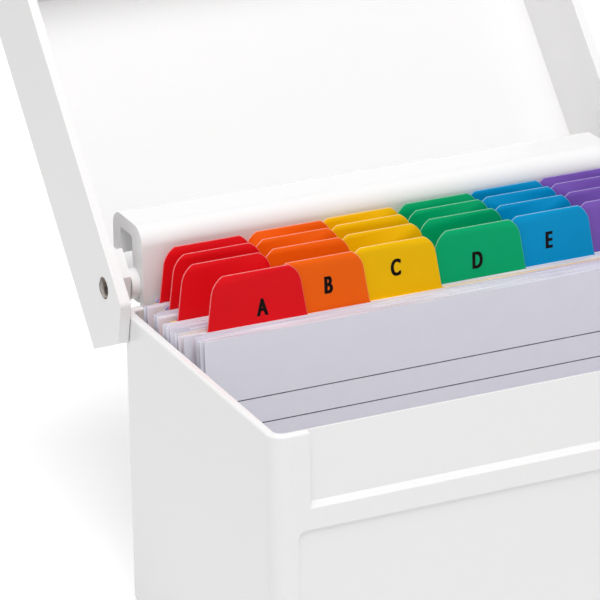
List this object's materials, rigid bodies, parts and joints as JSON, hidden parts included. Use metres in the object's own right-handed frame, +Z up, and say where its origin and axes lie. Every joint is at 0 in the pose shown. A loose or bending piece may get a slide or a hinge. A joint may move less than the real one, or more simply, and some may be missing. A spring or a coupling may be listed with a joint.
{
  "type": "index card file box",
  "caption": "Open-topped white plastic card file box with a hinged tray lid, tabbed dividers in six colours and plain index cards.",
  "frame": {"origin": "centre of the box's flat underside", "axes": "+Z up, +X to the right seen from the front, +Y towards the hinge at the back"},
  "size_m": [0.144, 0.1593, 0.1537],
  "materials": {
    "white_plastic": "smooth moulded white plastic with a soft gloss",
    "pin_steel": "plain steel, rounded end",
    "plain_card": "smooth white index card",
    "divider_red": "coated card in one colour",
    "divider_orange": "coated card in one colour",
    "divider_yellow": "coated card in one colour",
    "divider_green": "coated card in one colour",
    "divider_blue": "coated card in one colour",
    "divider_purple": "coated card in one colour"
  },
  "bodies": {
    "box": {"box": "white_plastic", "hinge_pin_left": "pin_steel", "hinge_pin_right": "pin_steel"},
    "lid": {"lid": "white_plastic"},
    "card_set": {"divider_a": "divider_red", "divider_b": "divider_orange", "divider_c": "divider_yellow", "divider_d": "divider_green", "divider_e": "divider_blue", "divider_f": "divider_purple", "divider_g": "divider_red", "divider_h": "divider_orange", "divider_i": "divider_yellow", "divider_j": "divider_green", "divider_k": "divider_blue", "divider_l": "divider_purple", "divider_m": "divider_red", "divider_n": "divider_orange", "divider_o": "divider_yellow", "divider_p": "divider_green", "divider_q": "divider_blue", "divider_r": "divider_purple", "divider_s": "divider_red", "divider_t": "divider_orange", "divider_u": "divider_yellow", "divider_v": "divider_green", "divider_w": "divider_blue", "divider_x": "divider_purple", "card_pack_01": "plain_card", "card_pack_02": "plain_card", "card_pack_03": "plain_card", "card_pack_04": "plain_card", "card_pack_05": "plain_card", "card_pack_06": "plain_card", "card_pack_07": "plain_card", "card_pack_08": "plain_card", "card_pack_09": "plain_card", "card_pack_10": "plain_card"}
  },
  "joints": [
    {"name": "lid_hinge", "type": "hinge", "parent": "box", "child": "lid", "pos_m": [0, 0.04585, 0.0801], "axis": [-1, 0, 0], "range_deg": [-131.8, 0]},
    {"name": "card_slide", "type": "slide", "parent": "box", "child": "card_set", "axis": [0, -1, 0], "range_m": [0, 0.028]}
  ]
}
